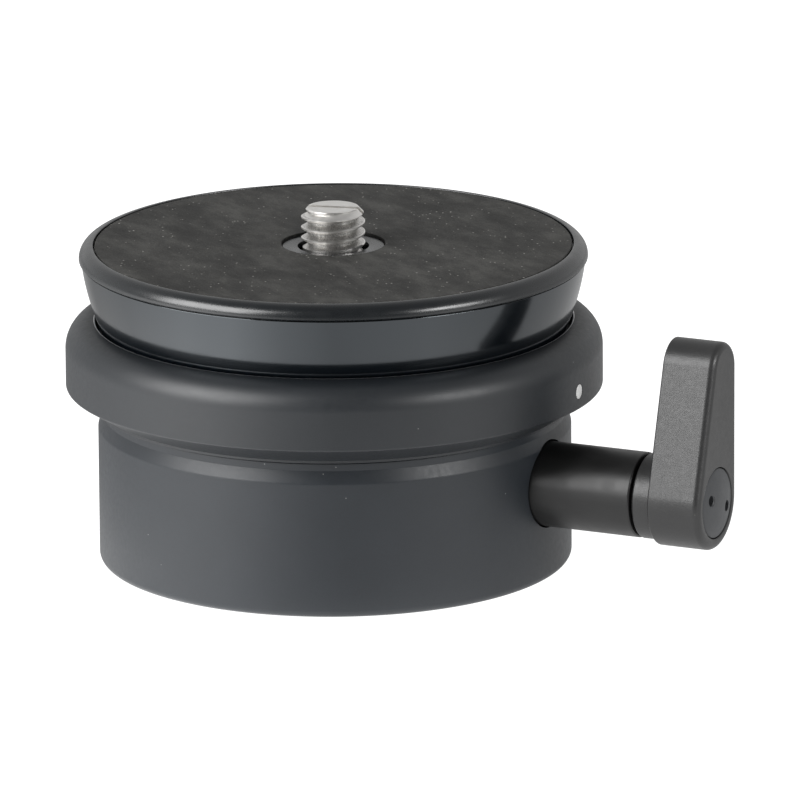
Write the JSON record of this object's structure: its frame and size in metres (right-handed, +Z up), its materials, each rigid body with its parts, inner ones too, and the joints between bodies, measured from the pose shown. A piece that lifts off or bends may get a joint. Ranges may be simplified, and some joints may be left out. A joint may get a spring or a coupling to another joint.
{
  "type": "leveling base",
  "caption": "Half-ball leveling base: round padded platform with a slotted camera stud, tilting and turning in a ringed cylindrical base, locked by a side lever with an eccentric shaft.",
  "frame": {"origin": "centre of the mouth of the tripod socket, in the plane of the underside", "axes": "+Z up along the socket and the camera stud, +X along the lever shaft towards the lever"},
  "size_m": [0.102, 0.0794, 0.053],
  "materials": {
    "body_anodised": "fine bead-blasted dark grey anodising",
    "ball_anodised": "satin turned blue-black anodising",
    "plate_anodised": "glossy blue-black anodising",
    "lever_anodised": "fine-grained bead-blasted dark grey anodising",
    "sleeve_black": "satin black oxide on turned steel",
    "cap_black": "satin black oxide",
    "stainless": "turned stainless steel",
    "steel_dark": "black oxide screws",
    "steel_plain": "ground plain steel",
    "bronze": "turned bearing bronze",
    "liner": "smooth graphite-filled low-friction polymer",
    "pad_rubber": "fine-grained dark cork rubber with light specks",
    "dot_white": "white paint fill",
    "shoe": "plain turned aluminium"
  },
  "bodies": {
    "housing": {"base_body": "body_anodised", "collar_ring": "body_anodised", "index_dot": "dot_white", "base_plate": "body_anodised", "base_plate_screws": "steel_dark", "thread_insert": "stainless", "collar_screws": "steel_dark", "guide_sleeve": "bronze", "shaft_bush": "bronze", "disc_spring": "steel_plain"},
    "seat": {"seat_liner": "liner"},
    "ball_carrier": {"clamp_liner": "liner"},
    "platform": {"half_ball": "ball_anodised", "top_plate": "plate_anodised", "plate_screws": "steel_dark", "grip_pad": "pad_rubber", "camera_stud": "stainless", "stud_set_screw": "steel_dark"},
    "clamp": {"draw_piston": "steel_plain", "draw_bolt": "steel_dark", "bolt_washer": "steel_plain", "clamp_dome": "shoe"},
    "lever": {"cam_shaft": "steel_plain", "lever_sleeve": "sleeve_black", "sleeve_set_screw": "steel_dark", "thrust_washer": "sleeve_black", "lever_arm": "lever_anodised", "lever_cap": "cap_black"}
  },
  "joints": [
    {"name": "tilt_direction", "type": "hinge", "parent": "housing", "child": "seat", "pos_m": [0, 0, 0.05], "axis": [0, 0, 1], "continuous": true},
    {"name": "platform_tilt", "type": "hinge", "parent": "seat", "child": "ball_carrier", "pos_m": [0, 0, 0.05], "axis": [1, 0, 0], "range_deg": [-15, 15]},
    {"name": "platform_pan", "type": "hinge", "parent": "ball_carrier", "child": "platform", "pos_m": [0, 0, 0.05], "axis": [0, 0, 1], "continuous": true},
    {"name": "lever_turn", "type": "hinge", "parent": "housing", "child": "lever", "pos_m": [0.04, 0, 0.0146], "axis": [1, 0, 0], "range_deg": [0, 100]},
    {"name": "clamp_lift", "type": "slide", "parent": "housing", "child": "clamp", "axis": [0, 0, 1], "range_m": [0, 0.0004], "deforming": ["disc_spring"]}
  ],
  "couplings": [
    {"joint": "lever_turn", "follows": "clamp_lift", "rad_per_m": 4363.3}
  ]
}
